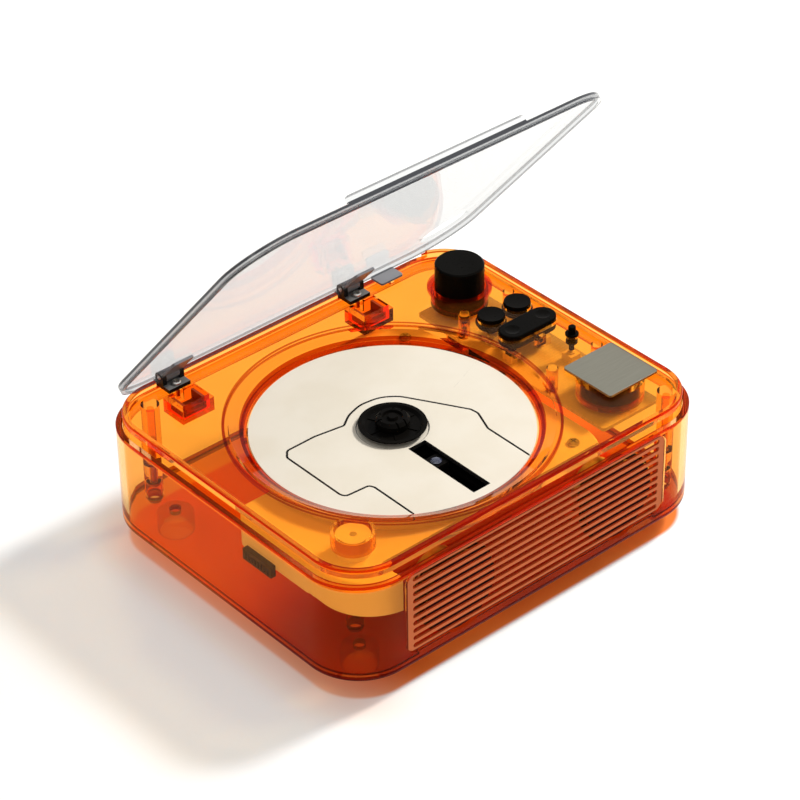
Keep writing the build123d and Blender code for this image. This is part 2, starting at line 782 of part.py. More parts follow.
def motor_pitch():
    return wheel_module * motor_teeth / 2


def gear_x():
    return slot_x + 17.0 + gear_pitch()


def motor_x():
    return gear_x() + wheel_module * (wheel_teeth + motor_teeth) / 2


def make_damper_rings():
    rings = []
    for x, y in damper_positions:
        rings.append(
            turned(
                [
                    (damper_post_radius, -2.0), (damper_radius, -2.0), (damper_radius, 0.0), (3.2, 0.0),
                    (3.2, frame_thickness), (damper_radius, frame_thickness),
                    (damper_radius, frame_thickness + 1.8),
                    (damper_post_radius, frame_thickness + 1.8),
                ],
                x, y, frame_low,
            )
        )
    return Compound(children=rings)


def make_damper_screws():
    return Compound(
        children=[pan_screw(3.8, 1.2, 1.0, 5.0, x, y, frame_low - 2.0, up=-1) for x, y in damper_positions]
    )


def make_guide_rods():
    rods = []
    for side in (-1, 1):
        rod_x = slot_x + side * rod_spacing / 2
        rods.append(bar_y(rod_radius, rod_x, rod_front() + 0.8, rod_back() - 0.8, rod_z))
    return Compound(children=rods)


def make_spindle_motor():
    motor = post(motor_radius, frame_low - motor_height, frame_low, well_x, well_y)
    motor = fillet(motor.faces().sort_by(Axis.Z)[0].edges(), 1.0)
    motor += post(2.8, frame_low - 0.5, frame_top + 0.8, well_x, well_y)
    motor -= post(spindle_radius + running_gap, frame_low - 6.0, frame_top + 2, well_x, well_y)
    low = frame_low - motor_height
    motor += slab(16.0, 8.0, 1.0, low - 1.2, low, well_x, well_y + 3)
    return motor


def make_spindle_hub():
    low = plate_top + 0.5
    top = disc_rest + hub_pin_rise
    bowl = disc_rest - hub_bowl_depth
    hub = turned(
        [
            (0.0, low), (hub_bowl_radius - 1.2, low), (hub_radius - 0.4, disc_rest - 0.9),
            (hub_radius, disc_rest - 0.6), (hub_radius, disc_rest), (hub_bowl_radius, disc_rest),
            (hub_bowl_radius - 1.3, bowl), (hub_pin_radius - 0.3, bowl),
            (hub_pin_radius - 0.3, disc_rest + 0.2), (hub_pin_radius, disc_rest + 0.2),
            (hub_pin_radius, top - 1.4),
            (hub_pin_radius - 1.3, top), (4.4, top), (4.0, top - 1.0), (2.4, top - 1.0),
            (1.9, top + 0.2), (0.0, top + 0.2),
        ],
        well_x, well_y,
    )
    # Slits between the three sprung fingers that grip a disc's centre hole.
    for turn in range(3):
        slit = block(4.6, 8.0, -0.35, 0.35, disc_rest + 0.8, top + 1)
        for offset_y in (-2.0, 2.0):
            hub -= Pos(well_x, well_y, 0) * Rot(0, 0, 26 + turn * 120) * Pos(0, offset_y, 0) * slit
    # Ribs on the bowl's floor.
    for turn in range(6):
        rib = block(hub_pin_radius - 0.4, hub_bowl_radius - 1.6, -0.3, 0.3, bowl - 0.2, bowl + 0.4)
        hub += Pos(well_x, well_y, 0) * Rot(0, 0, 56 + turn * 60) * rib
    hub += post(5.4, plate_bottom + 0.4, low + 0.5, well_x, well_y)
    hub += post(spindle_radius, frame_low - 5.5, plate_bottom + 1.0, well_x, well_y)
    return hub


def rack_reach():
    """How far the rack's teeth run either side of the gear, sled parked."""
    return (lens_park + 3.0, lens_travel - lens_park + 3.0)


def make_laser_sled():
    low = frame_low - 6.4
    high = frame_low - 0.6
    half = rod_spacing / 2
    sled = block(slot_x - 8.0, slot_x + 8.0, lens_y - 5.0, lens_y + 9.0, low, high)
    sled += block(
        slot_x - half - 3.2, slot_x + half + 3.2, lens_y + 2.0, lens_y + 10.0, rod_z - 2.4, rod_z + 2.4
    )
    sled += block(slot_x - 3.8, slot_x + 3.8, lens_y - 3.8, lens_y + 3.8, high - 0.5, plate_top - 1.8)
    sled -= post(2.5, plate_top - 3.0, plate_top, slot_x, lens_y)
    for side in (-1, 1):
        sled -= bar_y(rod_radius + running_gap, slot_x + side * half, lens_y - 10, lens_y + 20, rod_z)
    # Rack teeth: a space faces the gear's centre when the sled is parked.
    pitch = pi * rack_module
    slope = tan(radians(pressure_angle))
    inner_x = slot_x + half + 3.0
    root_x = gear_x() - gear_pitch() - root_depth * rack_module
    tip_x = gear_x() - gear_pitch() + tooth_height * rack_module
    behind, ahead = rack_reach()
    first = -int(behind / pitch) - 1
    last = int(ahead / pitch) + 1
    points = []
    for tooth in range(first, last):
        middle = gear_y + pitch * (tooth + 0.5)
        at_pitch = pitch / 4 - backlash / 4
        root_half = at_pitch + root_depth * rack_module * slope
        tip_half = at_pitch - tooth_height * rack_module * slope
        points.append((root_x, middle - root_half))
        points.append((tip_x, middle - tip_half))
        points.append((tip_x, middle + tip_half))
        points.append((root_x, middle + root_half))
    points.append((inner_x, points[-1][1]))
    points.append((inner_x, points[0][1]))
    sled += prism(points, rod_z + 0.1, rod_z + 2.3)
    return sled


def make_objective_lens():
    low = plate_top - 3.0
    outline = [(0.0, low), (2.4, low), (2.4, low + 1.4), (1.7, low + 1.9), (0.0, low + 2.2)]
    return turned(outline, slot_x, lens_y)


def make_sled_gear():
    pinion = gear(rack_module, pinion_teeth, 180.0, rod_z, rod_z + 2.4)
    wheel = gear(wheel_module, wheel_teeth, 0.0, rod_z - 2.2, rod_z - 0.2)
    body = pinion + wheel + post(2.6, rod_z - 0.4, rod_z + 0.2)
    body -= post(1.0 + running_gap, rod_z - 4, rod_z + 4)
    return Pos(gear_x(), gear_y, 0) * body


def make_sled_motor():
    top = frame_low - 8.0
    motor = post(6.0, top - 10.0, top, motor_x(), gear_y)
    motor = chamfer(motor.faces().sort_by(Axis.Z)[0].edges(), 0.8)
    motor += post(2.0, top - 0.5, top + 1.0, motor_x(), gear_y)
    motor -= post(0.75 + running_gap, top - 5.0, top + 2.0, motor_x(), gear_y)
    return motor


def make_motor_pinion():
    phase = 180.0 + 180.0 / motor_teeth
    body = gear(wheel_module, motor_teeth, phase, rod_z - 2.3, rod_z - 0.1)
    body += post(0.75, frame_low - 12.5, rod_z - 2.0)
    return Pos(motor_x(), gear_y, 0) * body


def main_board_edges():
    x1 = side_x - main_board_side_inset
    y1 = back_y - main_board_back_inset
    return (x1 - main_board_length, x1, y1 - main_board_depth, y1)


def make_main_board():
    x0, x1, y0, y1 = main_board_edges()
    board = slab(x1 - x0, y1 - y0, 1.5, main_low, main_top, (x0 + x1) / 2, (y0 + y1) / 2)
    for x, y in standoff_positions():
        board -= post(board_screw_radius + 0.1, main_low - 1, main_top + 1, x, y)
    for x, y in chassis_screw_positions:
        board -= post(post_radius + 0.8, main_low - 1, main_top + 1, x, y)
    return board


def make_capacitors():
    cans = []
    for x, y in capacitor_positions:
        can = post(capacitor_radius, main_top, main_top + capacitor_height)
        can = fillet(can.faces().sort_by(Axis.Z)[-1].edges(), 0.5)
        can -= tube(capacitor_radius + 1, capacitor_radius - 0.25, main_top + 1.4, main_top + 1.9)
        cans.append(Pos(x, y, 0) * can)
    return Compound(children=cans)


def make_power_socket():
    z = main_top + 5.5
    back = wall_in_x - 13.0
    body = block(back, wall_in_x - 0.2, power_socket_y - 4.5, power_socket_y + 4.5, main_top, main_top + 11.0)
    body += bar_x(4.1, wall_in_x - 1.0, body_width / 2 - 0.4, power_socket_y, z)
    body -= bar_x(2.9, wall_in_x - 10.0, body_width / 2 + 1, power_socket_y, z)
    body += bar_x(0.95, wall_in_x - 10.5, body_width / 2 - 1.6, power_socket_y, z)
    return body


def make_audio_socket():
    z = main_top + 3.2
    back = wall_in_x - 13.0
    body = block(back, wall_in_x - 0.2, audio_socket_y - 3.2, audio_socket_y + 3.2, main_top, main_top + 6.4)
    body += bar_x(2.9, wall_in_x - 1.0, body_width / 2 - 0.4, audio_socket_y, z)
    body -= bar_x(1.8, wall_in_x - 11.0, body_width / 2 + 1, audio_socket_y, z)
    return body


def make_control_board():
    depth = body_depth - control_board_front_inset - control_board_back_inset
    middle = (control_board_front_inset - control_board_back_inset) / 2
    board = slab(control_board_width, depth, 1.5, board_low, board_top, control_board_x, middle)
    for x, y in hanger_positions:
        board -= post(board_screw_radius + 0.1, board_low - 1, board_top + 1, x, y)
    return board


def switch_positions():
    rocker = [(rocker_x + side * rocker_stem_spread, rocker_y) for side in (-1, 1)]
    return button_positions + rocker + [(plunger_x, plunger_y), (square_x, square_y)]


def make_tact_switches():
    switches = []
    for x, y in switch_positions():
        switch = slab(switch_side, switch_side, 0.6, board_top, board_top + switch_body, x, y)
        switch += post(switch_tip_radius, board_top + switch_body - 0.5, switch_top, x, y)
        switches.append(switch)
    return Compound(children=switches)


def make_volume_control():
    low = deck_top - cup_depth - cup_wall
    body = slab(12.0, 12.0, 1.0, board_top, low - 0.4, knob_x, knob_y)
    body += post(shaft_radius + 0.7, low - 1.0, low + 0.6, knob_x, knob_y)
    body -= post(shaft_radius + running_gap, board_top + 1.2, low + 2, knob_x, knob_y)
    return body


def make_board_screws():
    screws = [
        pan_screw(2.0, 1.4, board_screw_radius, 6.0, x, y, board_low, up=-1) for x, y in hanger_positions
    ]
    screws += [pan_screw(2.0, 1.4, board_screw_radius, 5.0, x, y, main_top) for x, y in standoff_positions()]
    return Compound(children=screws)


def make_chassis_screws():
    screws = []
    for x, y in chassis_screw_positions:
        screws.append(pan_screw(2.6, 1.6, chassis_screw_radius, 10.0, x, y, flange_top))
    return Compound(children=screws)


def make_housing_screws():
    places = [(x, y, housing_screw_head_level) for x, y in post_positions]
    places.append((boss_x, boss_y, boss_screw_head_level))
    screws = []
    for x, y, level in places:
        screws.append(
            pan_screw(
                housing_screw_head_radius, housing_screw_head_height, housing_screw_radius,
                housing_screw_length, x, y, level, up=-1,
            )
        )
    return Compound(children=screws)


def make_feet():
    feet = []
    for x, y in foot_positions():
        foot = post(foot_radius, 0.0, base)
        foot = fillet(foot.faces().sort_by(Axis.Z)[0].edges(), 1.0)
        foot += post(foot_peg_radius - 0.05, base - 1.0, floor_top + 0.4)
        feet.append(Pos(x, y, 0) * foot)
    return Compound(children=feet)


def make_chassis_connector():
    y0 = connector_y - connector_length / 2
    low = chassis_low - 3.5
    outside = chassis_left - connector_thickness
    body = block(outside, chassis_left, y0, y0 + connector_length, low, low + connector_height)
    for slot in range(8):
        y = y0 + connector_length * (slot + 1) / 9
        body -= block(outside - 1, outside + 1.4, y - 0.5, y + 0.5, low + 1, low + 4)
    return body


def make_volume_knob():
    low = deck_top - cup_depth + knob_foot_gap
    knob = post(knob_radius, low, deck_top + knob_rise, knob_x, knob_y)
    knob = chamfer(knob.faces().sort_by(Axis.Z)[-1].edges(), knob_chamfer)
    knob -= post(knob_radius - 2.2, low - 1, low + 4.0, knob_x, knob_y)
    knob += post(shaft_radius + 2.0, low, low + 4.5, knob_x, knob_y)
    knob -= post(shaft_radius, low - 1, low + 12.0, knob_x, knob_y)
    return knob


def make_volume_shaft():
    low = deck_top - cup_depth + knob_foot_gap
    return post(shaft_radius, board_top + 1.4, low + 12.0, knob_x, knob_y)


def make_round_button(x, y):
    low = flange_level - 2.4
    cap = post(button_radius, low, button_top)
    cap = fillet(cap.faces().sort_by(Axis.Z)[-1].edges(), 0.6)
    dish = 12.0 * button_radius
    cap -= Pos(0, 0, button_top - button_dish + dish) * Sphere(dish)
    cap += post(button_radius + button_flange, flange_level - button_flange, flange_level)
    cap += post(stem_radius, switch_top + button_travel + running_gap, low + 0.5)
    return Pos(x, y, 0) * cap


def make_rocker_button():
    low = flange_level - 2.4
    profile = SlotOverall(rocker_length, rocker_width)
    cap = Pos(rocker_x, rocker_y, low) * extrude(profile, button_top - low)
    cap = fillet(cap.faces().sort_by(Axis.Z)[-1].edges(), 0.6)
    # Two shallow finger dishes.
    dish = 12.0
    for side in (-1, 1):
        x = rocker_x + side * rocker_stem_spread
        cap -= Pos(x, rocker_y, button_top + dish - 0.5) * Sphere(dish)
    reach = rocker_width / 2 + 3.0
    cap += bar_y(1.0, rocker_x, rocker_y - reach, rocker_y + reach, rocker_pivot())
    drop = rocker_stem_spread * sin(radians(rocker_angle)) + 0.15
    for side in (-1, 1):
        cap += post(stem_radius, switch_top + drop, low + 0.5, rocker_x + side * rocker_stem_spread, rocker_y)
    return cap


def make_plunger_bushing():
    sleeve = bushing_radius - 0.65
    body = post(bushing_radius, deck_top, deck_top + bushing_rise)
    body += post(sleeve, deck_bottom - 0.8, deck_top + 0.2)
    body -= post(plunger_radius + running_gap, deck_bottom - 2, deck_top + 3)
    return Pos(plunger_x, plunger_y, 0) * body


def make_switch_plunger():
    top = deck_top + plunger_rise
    shoulder = deck_bottom - 0.8 - 0.25
    body = post(plunger_radius, shoulder - 1.5, top)
    body = fillet(body.faces().sort_by(Axis.Z)[-1].edges(), 0.6)
    body += post(plunger_radius + 0.9, shoulder - 1.5, shoulder)
    body += post(1.2, switch_top + plunger_travel + running_gap, shoulder - 1.0)
    return Pos(plunger_x, plunger_y, 0) * body


def make_square_plate():
    low = deck_top + square_gap
    plate = slab(square_side, square_side, square_corner, low, low + square_thickness, square_x, square_y)
    return fillet(plate.faces().sort_by(Axis.Z)[-1].edges(), 0.25)


def make_square_piston():
    top = deck_top + square_gap
    low = deck_top - guide_depth + 1.2 + square_travel + 0.3
    body = post(piston_radius, low, top, square_x, square_y)
    body -= post(piston_radius - piston_wall, low - 1, top - 1.6, square_x, square_y)
    stem_low = switch_top + square_travel + running_gap
    body += post(stem_radius, stem_low, top - 1.0, square_x, square_y)
    return body


def opened(piece):
    """Turns a piece from the closed lid's place to the open lid's."""
    return Pos(0, hinge_y, hinge_z) * Rot(-lid_open_angle, 0, 0) * Pos(0, -hinge_y, -hinge_z) * piece


def make_lid_cover():
    depth = lid_back - lid_front
    middle = (lid_back + lid_front) / 2
    lid = slab(rim_width, depth, corner_radius, lid_low, lid_top, 0.0, middle)
    lid = fillet(lid.faces().sort_by(Axis.Z)[-1].edges(), min(lid_edge_radius, lid_wall * 0.6))
    lid -= slab(
        rim_width - 2 * lid_wall, depth - 2 * lid_wall, corner_radius - lid_wall,
        lid_low - 1, lid_inner, 0.0, middle,
    )
    half = lid_tab_width / 2
    tab_back = lid_front + lid_tab_thickness
    tab = block(-half, half, lid_front, tab_back, lid_top - 1.2, lid_top + lid_tab_height)
    tab = fillet(tab.edges().filter_by(Axis.Y).group_by(Axis.Z)[-1], lid_tab_corner)
    lid += tab
    for x in hinge_positions:
        half = hinge_width / 2 + 0.4
        notch_front = hinge_y - knuckle_radius - 0.5
        lid -= block(x - half, x + half, notch_front, lid_back + 1, lid_low - 1, lid_top + 1)
    lid -= post(knob_radius + knob_opening_gap, lid_low - 1, lid_top + 1, knob_x, knob_y)
    return opened(lid)


def make_hinge_leaves():
    leaves = []
    half = knuckle_width / 2
    back = hinge_y - knuckle_radius - 0.6
    for x in hinge_positions:
        leaf_y = back - leaf_length / 2
        leaf = slab(hinge_width - 0.4, leaf_length, 1.2, lid_inner - leaf_thickness, lid_inner, x, leaf_y)
        leaf += block(x - half, x + half, back - 2.0, hinge_y, lid_inner - leaf_thickness, hinge_z + 1.1)
        leaf -= block(x - half - 1, x + half + 1, back - 3.0, back + 0.3, lid_inner, hinge_z + 3)
        leaf += bar_x(knuckle_radius, x - half, x + half, hinge_y, hinge_z)
        leaf -= bar_x(pin_radius + running_gap, x - half - 1, x + half + 1, hinge_y, hinge_z)
        leaves.append(opened(leaf))
    return Compound(children=leaves)


def make_hinge_brackets():
    brackets = []
    half = hinge_width / 2
    inner = knuckle_width / 2 + knuckle_side_gap
    top = deck_top + bracket_base
    for x in hinge_positions:
        body = block(x - half, x + half, hinge_y - bracket_reach, hinge_y + 4.2, deck_top, top)
        for side in (-1, 1):
            x0 = min(x + side * inner, x + side * half)
            x1 = max(x + side * inner, x + side * half)
            body += block(x0, x1, hinge_y - knuckle_radius, hinge_y + knuckle_radius, top - 0.5, hinge_z)
            body += bar_x(knuckle_radius, x0, x1, hinge_y, hinge_z)
        body -= bar_x(pin_radius, x - half - 1, x + half + 1, hinge_y, hinge_z)
        body -= post(hinge_screw_radius + 0.1, deck_top - 1, top + 1, x, hinge_screw_y())
        brackets.append(body)
    return Compound(children=brackets)


def hinge_screw_y():
    return hinge_y - bracket_reach + 2.3


def make_hinge_pins():
    half = hinge_width / 2
    pins = [bar_x(pin_radius, x - half, x + half, hinge_y, hinge_z) for x in hinge_positions]
    return Compound(children=pins)


def make_hinge_screws():
    seat = deck_top + bracket_base
    return Compound(
        children=[
            pan_screw(hinge_screw_head_radius, 1.3, hinge_screw_radius, 6.0, x, hinge_screw_y(), seat)
            for x in hinge_positions
        ]
    )


def make_hinge_clips():
    clips = []
    y1 = hinge_y - bracket_reach - 0.4
    y0 = y1 - pocket_length
    low = deck_top - pocket_depth
    half = pocket_width / 2 - 1.2
    for x in hinge_positions:
        clip = block(x - half, x + half, y0 + 1.0, y1 - 1.0, low, deck_top - 1.4)
        clip -= block(x - half + clip_wall, x + half - clip_wall, y0, y1, low + clip_wall, deck_top)
        clips.append(clip)
    return Compound(children=clips)


def make_lid_stay():
    top = stay_top()
    plate = slab(stay_width, stay_length, 1.0, top - stay_thickness, top, stay_x, hinge_y - 2.8)
    return plate


parts = {
    "lower_tub": make_lower_tub,
    "upper_deck": make_upper_deck,
    "speaker_grille": make_speaker_grille,
    "driver_frames": make_driver_frames,
    "driver_cones": make_driver_cones,
    "driver_magnets": make_driver_magnets,
    "driver_scrims": make_driver_scrims,
    "deck_chassis": make_deck_chassis,
    "chassis_connector": make_chassis_connector,
    "mechanism_cover": make_mechanism_cover,
    "traverse_frame": make_traverse_frame,
    "damper_rings": make_damper_rings,
    "damper_screws": make_damper_screws,
    "guide_rods": make_guide_rods,
    "spindle_motor": make_spindle_motor,
    "spindle_hub": make_spindle_hub,
    "laser_sled": make_laser_sled,
    "objective_lens": make_objective_lens,
    "sled_gear": make_sled_gear,
    "sled_motor": make_sled_motor,
    "motor_pinion": make_motor_pinion,
    "main_board": make_main_board,
    "capacitors": make_capacitors,
    "power_socket": make_power_socket,
    "audio_socket": make_audio_socket,
    "control_board": make_control_board,
    "tact_switches": make_tact_switches,
    "volume_control": make_volume_control,
    "board_screws": make_board_screws,
    "chassis_screws": make_chassis_screws,
    "housing_screws": make_housing_screws,
    "rubber_feet": make_feet,
    "volume_knob": make_volume_knob,
    "volume_shaft": make_volume_shaft,
    "button_left": lambda: make_round_button(*button_positions[0]),
    "button_right": lambda: make_round_button(*button_positions[1]),
    "rocker_button": make_rocker_button,
    "plunger_bushing": make_plunger_bushing,
    "switch_plunger": make_switch_plunger,
    "square_plate": make_square_plate,
    "square_piston": make_square_piston,
    "lid_cover": make_lid_cover,
    "lid_hinge_leaves": make_hinge_leaves,
    "hinge_brackets": make_hinge_brackets,
    "hinge_pins": make_hinge_pins,
    "hinge_screws": make_hinge_screws,
    "hinge_clips": make_hinge_clips,
    "lid_stay": make_lid_stay,
}

os.makedirs("parts", exist_ok=True)
for name, make in parts.items():
    export_step(make(), "parts/" + name + ".step")
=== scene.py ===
"""Disc player with an open lid: materials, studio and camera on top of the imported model."""

import json
from math import cos, radians, sin

import bpy
from mathutils import Matrix, Vector


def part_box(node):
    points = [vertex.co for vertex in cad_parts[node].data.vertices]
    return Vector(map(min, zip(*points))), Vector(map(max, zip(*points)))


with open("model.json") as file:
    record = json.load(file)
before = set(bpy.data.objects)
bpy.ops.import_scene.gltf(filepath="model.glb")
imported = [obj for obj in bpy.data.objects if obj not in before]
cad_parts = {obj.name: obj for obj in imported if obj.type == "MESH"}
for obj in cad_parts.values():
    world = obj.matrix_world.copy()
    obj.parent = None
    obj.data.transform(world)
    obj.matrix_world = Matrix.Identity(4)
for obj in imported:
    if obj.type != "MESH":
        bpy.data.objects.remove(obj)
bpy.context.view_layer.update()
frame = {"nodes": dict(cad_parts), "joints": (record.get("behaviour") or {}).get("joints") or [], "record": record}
nodes = frame["nodes"]


# ---- sizes taken from the frame, in metres ----
def middle(low, high):
    """Middle of a box, seen from above."""
    return (low[0] + high[0]) / 2, (low[1] + high[1]) / 2


tub_low, tub_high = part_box("lower_tub")
deck_low, deck_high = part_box("upper_deck")
grille_low, grille_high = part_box("speaker_grille")
bracket_low, bracket_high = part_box("hinge_brackets")
clip_low, clip_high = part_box("hinge_clips")
well_x, well_y = middle(*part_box("spindle_hub"))
knob_x, knob_y = middle(*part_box("volume_knob"))
square_x, square_y = middle(*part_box("square_plate"))
plate_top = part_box("mechanism_cover")[1][2]

base_z = tub_low[2]
lip_z = tub_high[2]
rim_z = deck_high[2]
rim_height = 0.003
rim_width = 0.004
deck_top = rim_z - rim_height
tub_bottom_top = base_z + 0.0032
tub_foot_edge_top = base_z + 0.0036

plate_radius = 0.0598
covered_radius = 0.0626
plate_thickness = 0.0024
bracket_half_width = 0.0057
pocket_half_width = 0.0086
pocket_wall = 0.0024
pocket_places = (bracket_low[0] + bracket_half_width, bracket_high[0] - bracket_half_width)
pocket_front = clip_low[1] - pocket_wall
pocket_back = clip_high[1] + pocket_wall
# Reach of the painted shade round the knob's base and round the square plate.
knob_shade_radius = 0.0145
square_shade_radius = 0.0135
grille_frame_edge = 0.0007

lid_hinge = next(joint for joint in frame["joints"] if joint["name"] == "lid_hinge")
hinge_y, hinge_z = lid_hinge["pos_m"][1], lid_hinge["pos_m"][2]
lid_angle = radians(50.0)
lid_top_level = 0.0020
lid_opening_radius = 0.0142


# ---- shader expressions ----
class Value:
    """A socket's output that can be used in arithmetic."""

    def __init__(self, shader, socket):
        self.shader = shader
        self.socket = socket

    def _math(self, operation, *others):
        return self.shader.node("ShaderNodeMath", {"operation": operation}, [self, *others])

    def __add__(self, other):
        return self._math("ADD", other)

    __radd__ = __add__

    def __mul__(self, other):
        return self._math("MULTIPLY", other)

    __rmul__ = __mul__

    def __sub__(self, other):
        return self._math("SUBTRACT", other)

    def __rsub__(self, other):
        return self.shader.node("ShaderNodeMath", {"operation": "SUBTRACT"}, [other, self])

    def __gt__(self, other):
        return self._math("GREATER_THAN", other)

    def __lt__(self, other):
        return self._math("LESS_THAN", other)

    def absolute(self):
        return self._math("ABSOLUTE")

    def maximum(self, other):
        return self._math("MAXIMUM", other)

    def root(self):
        return self._math("SQRT")

    def ramp(self, low, high):
        """0 below low, 1 above high, smooth between."""
        return self.shader.node(
            "ShaderNodeMapRange",
            {"interpolation_type": "SMOOTHSTEP"},
            {"Value": self, "From Min": low, "From Max": high},
        )


class Shader:
    """The node tree of a material or of the world, under construction."""

    def __init__(self, owner, output_kind):
        owner.use_nodes = True
        self.owner = owner
        self.tree = owner.node_tree
        self.tree.nodes.clear()
        self.output = self.tree.nodes.new(output_kind)

    def node(self, kind, settings=None, inputs=None, output=0):
        """Adds a node: its settings first, then a number, a colour or a link for each named input."""
        made = self.tree.nodes.new(kind)
        for key, value in (settings or {}).items():
            setattr(made, key, value)
        pairs = inputs.items() if isinstance(inputs, dict) else enumerate(inputs or [])
        for key, value in pairs:
            socket = made.inputs[key]
            if isinstance(value, Value):
                self.tree.links.new(value.socket, socket)
            else:
                socket.default_value = value
        return Value(self, made.outputs[output])

    def position(self):
        return self.node("ShaderNodeTexCoord", output="Object")

    def normal(self):
        return self.node("ShaderNodeTexCoord", output="Normal")

    def split(self, vector):
        parts = self.tree.nodes.new("ShaderNodeSeparateXYZ")
        self.tree.links.new(vector.socket, parts.inputs[0])
        return [Value(self, parts.outputs[i]) for i in range(3)]

    def noise(self, scale, detail=3.0, roughness=0.5, stretch=(1.0, 1.0, 1.0)):
        place = self.node("ShaderNodeMapping", None, {"Vector": self.position(), "Scale": stretch})
        return self.node(
            "ShaderNodeTexNoise",
            None,
            {"Vector": place, "Scale": scale, "Detail": detail, "Roughness": roughness},
        )

    def blend(self, amount, first, second):
        """A colour between two colours."""
        inputs = {0: amount, 6: colour(first), 7: colour(second)}
        return self.node("ShaderNodeMix", {"data_type": "RGBA"}, inputs, output=2)

    def bump(self, height, distance, strength=1.0):
        inputs = {"Height": height, "Distance": distance, "Strength": strength}
        return self.node("ShaderNodeBump", None, inputs)

    def surface(self, **sockets):
        named = {key.replace("_", " "): value for key, value in sockets.items()}
        return self.node("ShaderNodeBsdfPrincipled", None, named)

    def clear(self, tint):
        return self.node("ShaderNodeBsdfTransparent", None, {"Color": tint})

    def mix(self, amount, first, second):
        return self.node("ShaderNodeMixShader", None, [amount, first, second])

    def is_ray(self, kind):
        return self.node("ShaderNodeLightPath", output=f"Is {kind} Ray")

    def sees_background(self):
        """1 for the rays that show the background: straight, mirrored and through clear pieces."""
        return self.is_ray("Camera").maximum(self.is_ray("Glossy")).maximum(self.is_ray("Transmission"))

    def let_lamps_through(self, body, tint):
        """The body as it looks, with lamp light passing straight through it, tinted."""
        return self.mix(self.is_ray("Shadow"), body, self.clear(tint))

    def done(self, shader):
        self.tree.links.new(shader.socket, self.output.inputs["Surface"])
        return self.owner


def material_shader(name):
    return Shader(bpy.data.materials.new(name), "ShaderNodeOutputMaterial")


def colour(value):
    if isinstance(value, Value):
        return value
    return (*value, 1.0) if len(value) == 3 else value


def rgb(red, green, blue):
    """Linear colour of an 8-bit display colour."""
    linear = []
    for channel in (red, green, blue):
        c = channel / 255
        linear.append(c / 12.92 if c <= 0.04045 else ((c + 0.055) / 1.055) ** 2.4)
    return (*linear, 1.0)


def band(value, low, high, soft=0.0003):
    """1 between low and high, 0 outside."""
    return value.ramp(low - soft, low) * (1 - value.ramp(high, high + soft))


def square_of_distance(x, y, centre):
    """Square of the distance from an upright line."""
    away_x = x - centre[0]
    away_y = y - centre[1]
    return away_x * away_x + away_y * away_y


# ---- where light and shade are painted on each piece ----
# Painted shade: dark red for the lines where a wall's edge is seen.
painted_edge_red = (0.34, 0.012, 0.0, 1.0)
# Painted glow: dark red light in the rim and the lip.
painted_rim_glow = (0.40, 0.012, 0.002)
# Painted glow: the faint glow laid under every painted glow.
painted_faint_glow = (0.02, 0.002, 0.0)
# Painted shade: near black for gaps and shaded sides.
painted_shade_black = rgb(14, 12, 10)
# Painted shade and painted light: dark rings round the disc plate, with a paler ring between them.
well_light_and_shade_rings = (
    (0.0604, 0.0626, (0.86, 0.16, 0.02)),
    (0.0626, 0.0643, (0.28, 0.01, 0.0)),
    (0.0643, 0.0703, (1.0, 0.46, 0.09)),
    (0.0703, 0.0713, (0.40, 0.04, 0.0)),
)


def painted_edge_line(m, paint, level):
    """Painted shade: a dark red line where a wall ends at the given level, for the deep colour seen through the
    wall's edge; less of it on its flat top.
    """
    x, y, z = m.split(m.position())
    nx, ny, nz = m.split(m.normal())
    flat = nz.absolute().ramp(0.93, 0.995)
    return m.blend(band(z, *level) * (1 - flat * 0.55), paint, painted_edge_red)


def deck_zones(m, paint):
    """Painted light and shade: rings of deeper and paler colour round the disc plate, and painted shade in the
    hinge pockets, round the knob's base and round the square plate.
    """
    x, y, z = m.split(m.position())
    radius = square_of_distance(x, y, (well_x, well_y)).root()
    above = z > plate_top - 0.0012
    for inner, outer, tint in well_light_and_shade_rings:
        paint = m.blend(band(radius, inner, outer, 0.0002) * above, paint, tint)
    below_top = z < deck_top - 0.0003
    # Painted shade: the hinge pockets below the deck's top are painted deep red.
    for pocket_x in pocket_places:
        beside = (x - pocket_x).absolute() < pocket_half_width
        pocket_shade = beside * band(y, pocket_front, pocket_back) * below_top
        paint = m.blend(pocket_shade, paint, (1.0, 0.17, 0.01))
    # Painted shade round the knob's base and round the square plate.
    knob_shade = square_of_distance(x, y, (knob_x, knob_y)) < knob_shade_radius**2
    paint = m.blend(knob_shade, paint, (0.55, 0.04, 0.01))
    square_shade = square_of_distance(x, y, (square_x, square_y)) < square_shade_radius**2
    return m.blend(square_shade, paint, (0.60, 0.09, 0.02))


def deck_painted_glow(m):
    """Painted glow: the standing rim is painted to shine dark red, as if it gathered light."""
    x, y, z = m.split(m.position())
    past_side = x.absolute() > deck_high[0] - rim_width
    past_front = y.absolute() > deck_high[1] - rim_width
    high = z > deck_top - rim_height
    return m.blend(high * past_side.maximum(past_front), painted_faint_glow, painted_rim_glow)


def tub_zones(m, paint):
    """Painted shade: the tub's bottom is much deeper in colour than its walls, darkest towards the front, and its
    lowest edge is painted nearly black.
    """
    x, y, z = m.split(m.position())
    nx, ny, nz = m.split(m.normal())
    bottom = m.blend(y.ramp(-0.050, 0.0), (0.52, 0.08, 0.008), (1.0, 0.24, 0.03))
    paint = m.blend(z < tub_bottom_top, paint, bottom)
    foot_edge = (z < tub_foot_edge_top) * (nz.absolute() < 0.97)
    return m.blend(foot_edge, paint, (0.12, 0.003, 0.0))


